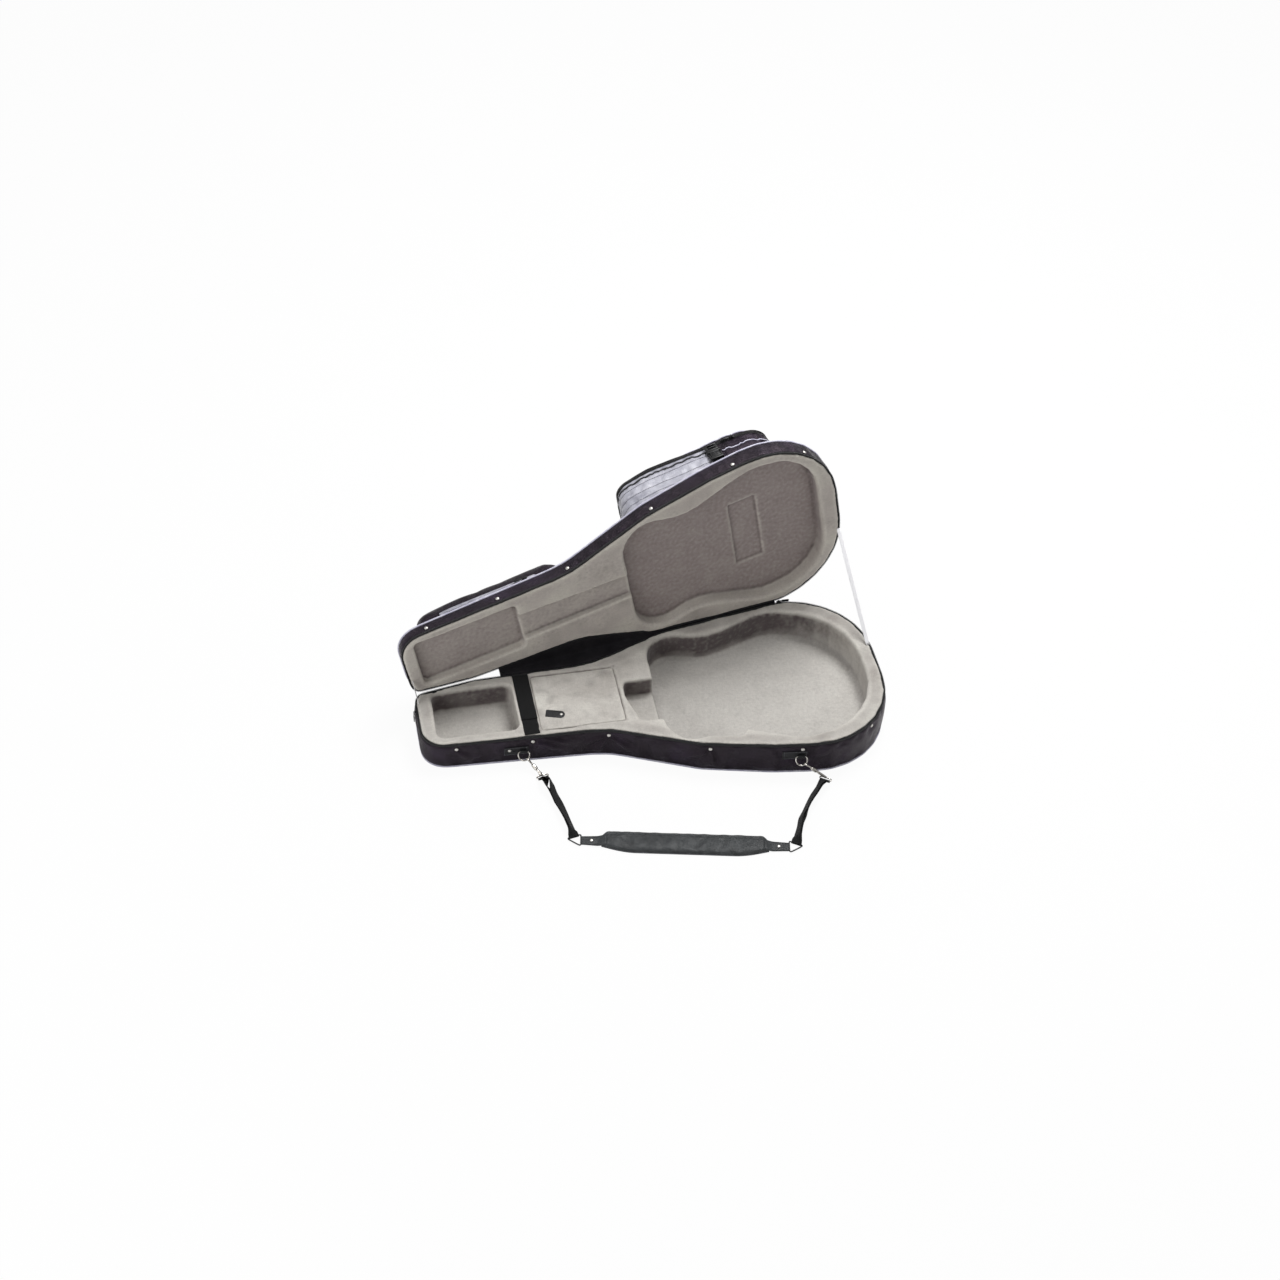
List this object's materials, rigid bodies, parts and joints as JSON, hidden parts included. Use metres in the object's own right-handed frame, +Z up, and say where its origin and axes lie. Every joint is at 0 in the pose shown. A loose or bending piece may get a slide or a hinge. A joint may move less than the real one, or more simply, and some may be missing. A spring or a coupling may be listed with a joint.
{
  "type": "guitar gig bag",
  "caption": "Lightweight guitar case of the gig-bag kind, lying open, with plush-lined body, headstock and accessory compartments, outer pockets and a padded shoulder strap.",
  "frame": {"origin": "middle of the flat underside, below the point where the rim is 85.6 mm high", "axes": "+X from the head to the butt, +Y towards the hinge side, +Z up as the case lies on its back"},
  "size_m": [1.1176, 0.8993, 0.5619],
  "materials": {
    "black_acetal": "moulded",
    "black_binding": "zip tape and grosgrain",
    "black_leatherette": "fine grain, matt",
    "black_nylon": "woven, slight sheen",
    "black_webbing": "woven tape",
    "dark_grey_plush": "short plush pile",
    "light_grey_plush": "short plush pile",
    "nickel_plated_steel": "polished",
    "silver_nylon": "coated, slight sheen",
    "white_piping": "satin",
    "white_ribbon": "satin ribbon"
  },
  "bodies": {
    "case_base": {"base_panel": "black_nylon", "base_side_wall": "black_nylon", "base_zip_tape": "black_binding", "base_piping": "white_piping", "base_liner": "light_grey_plush", "base_hinge_flap": "black_binding", "dring_patch_left": "black_leatherette", "dring_patch_right": "black_leatherette", "handle_mount_head": "black_leatherette", "handle_mount_body": "black_leatherette", "butt_zip_slider": "nickel_plated_steel", "head_zip_slider": "nickel_plated_steel", "butt_stay": "white_ribbon", "head_stay": "white_ribbon"},
    "lid": {"lid_panel": "black_nylon", "lid_side_wall": "black_nylon", "lid_zip_tape": "black_binding", "lid_piping": "white_piping", "lid_liner": "dark_grey_plush", "lid_hinge_flap": "black_binding", "main_pocket_gusset": "silver_nylon", "main_pocket_zip": "black_binding", "main_pocket_face": "black_nylon", "flat_pocket": "black_nylon", "neck_pocket": "black_nylon", "neck_pocket_zip": "silver_nylon", "buckle_webbing": "black_webbing", "buckle_socket": "black_acetal", "buckle_plug": "black_acetal"},
    "accessory_lid": {"accessory_lid": "light_grey_plush"},
    "pull_tab": {"accessory_pull_tab": "black_leatherette"},
    "neck_strap_back": {"neck_strap_back": "black_webbing"},
    "neck_strap_front": {"neck_strap_front": "black_webbing"},
    "shoulder_strap": {"dring_left": "nickel_plated_steel", "dring_right": "nickel_plated_steel", "snap_hook_left": "nickel_plated_steel", "snap_hook_right": "nickel_plated_steel", "swivel_left": "nickel_plated_steel", "swivel_right": "nickel_plated_steel", "strap_webbing_left": "black_webbing", "strap_webbing_right": "black_webbing", "strap_ring_left": "nickel_plated_steel", "strap_ring_right": "nickel_plated_steel", "pad_tab_left": "black_leatherette", "pad_tab_right": "black_leatherette", "shoulder_pad": "black_leatherette"},
    "hook_gate_left": {"hook_gate_left": "nickel_plated_steel"},
    "hook_gate_right": {"hook_gate_right": "nickel_plated_steel"},
    "carry_handle": {"carry_handle": "black_acetal"},
    "butt_zip_pull": {"butt_zip_pull": "nickel_plated_steel"},
    "head_zip_pull": {"head_zip_pull": "nickel_plated_steel"},
    "main_zip_slider": {"main_zip_slider": "nickel_plated_steel"},
    "main_zip_pull": {"main_zip_pull": "nickel_plated_steel"},
    "neck_zip_slider": {"neck_zip_slider": "nickel_plated_steel"},
    "neck_zip_pull": {"neck_zip_pull": "nickel_plated_steel"}
  },
  "joints": [
    {"name": "lid_hinge", "type": "hinge", "parent": "case_base", "child": "lid", "pos_m": [-0.49181, 0.08404, 0.07451], "axis": [0.9838, 0.178, 0.0222], "range_deg": [0, 90], "deforming": ["butt_stay", "head_stay"]},
    {"name": "accessory_lid_hinge", "type": "hinge", "parent": "case_base", "child": "accessory_lid", "pos_m": [-0.07591, 0, 0.08361], "axis": [0, -1, 0], "range_deg": [-100, 0]},
    {"name": "pull_tab_hinge", "type": "hinge", "parent": "accessory_lid", "child": "pull_tab", "pos_m": [-0.21183, -0.047, 0.07848], "axis": [-0.2756, -0.9613, -0.0062], "range_deg": [-90, 0]},
    {"name": "neck_strap_back_hinge", "type": "hinge", "parent": "case_base", "child": "neck_strap_back", "pos_m": [-0.29334, 0.09357, 0.07789], "axis": [0.9997, 0, 0.0226], "range_deg": [-95, 0]},
    {"name": "neck_strap_front_hinge", "type": "hinge", "parent": "case_base", "child": "neck_strap_front", "pos_m": [-0.29329, -0.09357, 0.07599], "axis": [-0.9997, 0, -0.0226], "range_deg": [-50, 0]},
    {"name": "shoulder_strap_swing", "type": "hinge", "parent": "case_base", "child": "shoulder_strap", "pos_m": [-0.31507, -0.10658, 0.03549], "axis": [-0.978, 0.2062, -0.0332], "range_deg": [0, 88]},
    {"name": "hook_gate_left_slide", "type": "slide", "parent": "shoulder_strap", "child": "hook_gate_left", "axis": [-0.534, 0.7663, 0.3573], "range_m": [-0.005, 0], "stiffness_N_per_m": 60, "springref_m": 0.001},
    {"name": "hook_gate_right_slide", "type": "slide", "parent": "shoulder_strap", "child": "hook_gate_right", "axis": [-0.7802, 0.3347, 0.5284], "range_m": [-0.005, 0], "stiffness_N_per_m": 60, "springref_m": 0.001},
    {"name": "carry_handle_hinge", "type": "hinge", "parent": "case_base", "child": "carry_handle", "pos_m": [-0.17162, 0.11376, 0.05774], "axis": [0.9624, 0.2708, 0.0217], "range_deg": [0, 90]},
    {"name": "butt_zip_pull_hinge", "type": "hinge", "parent": "case_base", "child": "butt_zip_pull", "pos_m": [0.36011, 0.24184, 0.08896], "axis": [-0.0226, 0, 0.9997], "range_deg": [0, 150]},
    {"name": "head_zip_pull_hinge", "type": "hinge", "parent": "case_base", "child": "head_zip_pull", "pos_m": [-0.54979, 0.02, 0.06839], "axis": [0, 1, 0], "range_deg": [0, 140]},
    {"name": "main_zip_slide", "type": "slide", "parent": "lid", "child": "main_zip_slider", "axis": [0.9607, 0.1926, 0.1997], "range_m": [-0.17, 0]},
    {"name": "main_zip_pull_hinge", "type": "hinge", "parent": "main_zip_slider", "child": "main_zip_pull", "pos_m": [0.24215, 0.37202, 0.5098], "axis": [-0.1951, 0.9808, -0.0076], "range_deg": [0, 150]},
    {"name": "neck_zip_slide", "type": "slide", "parent": "lid", "child": "neck_zip_slider", "axis": [0.9607, 0.1926, 0.1997], "range_m": [-0.14, 0]},
    {"name": "neck_zip_pull_hinge", "type": "hinge", "parent": "neck_zip_slider", "child": "neck_zip_pull", "pos_m": [-0.27219, 0.17622, 0.31037], "axis": [-0.1951, 0.9808, -0.0076], "range_deg": [0, 150]}
  ],
  "couplings": [
    {"joint": "neck_strap_front_hinge", "follows": "neck_strap_back_hinge", "ratio": 0.5}
  ]
}
